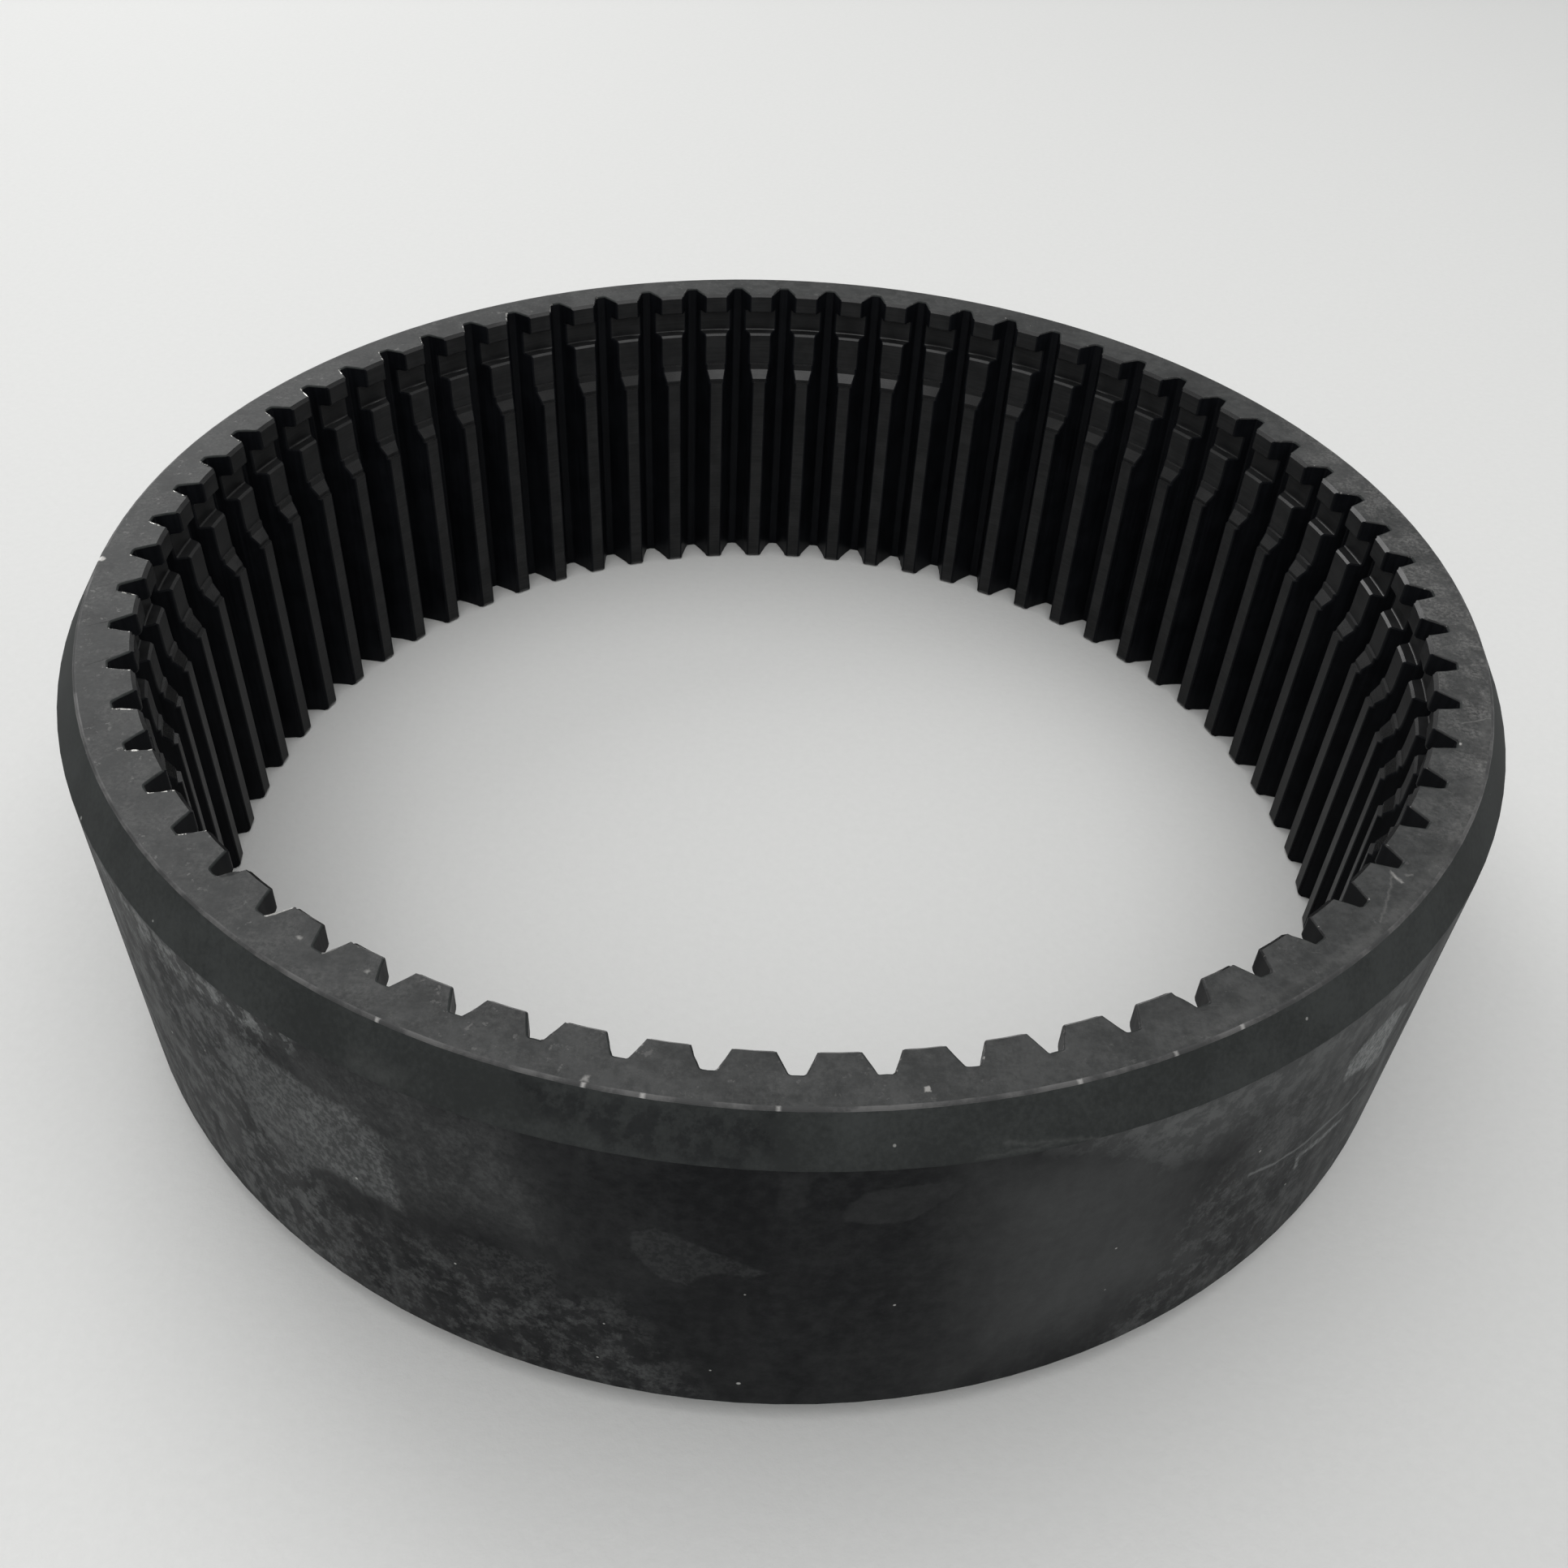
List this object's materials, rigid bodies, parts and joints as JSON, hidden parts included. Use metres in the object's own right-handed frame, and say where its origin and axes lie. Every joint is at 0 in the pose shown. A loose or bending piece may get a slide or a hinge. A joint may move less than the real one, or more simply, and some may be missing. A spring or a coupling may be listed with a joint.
{
  "type": "ring gear",
  "caption": "Thick steel ring gear with straight involute teeth on its inside, their tips turned back and grooved for a snap ring at the upper end, and chamfered outer edges.",
  "frame": {"origin": "centre of the lower face, on the axis of the ring", "axes": "+Z along the axis, up towards the end with the snap ring groove; +X through the middle of a tooth gap"},
  "size_m": [0.2952, 0.2952, 0.084],
  "materials": {
    "blackened_steel": "black oxide over turned and cut steel, satin, with faint stains and bright nicks on the edges"
  },
  "bodies": {
    "root": {"ring_gear": "blackened_steel"}
  },
  "joints": []
}
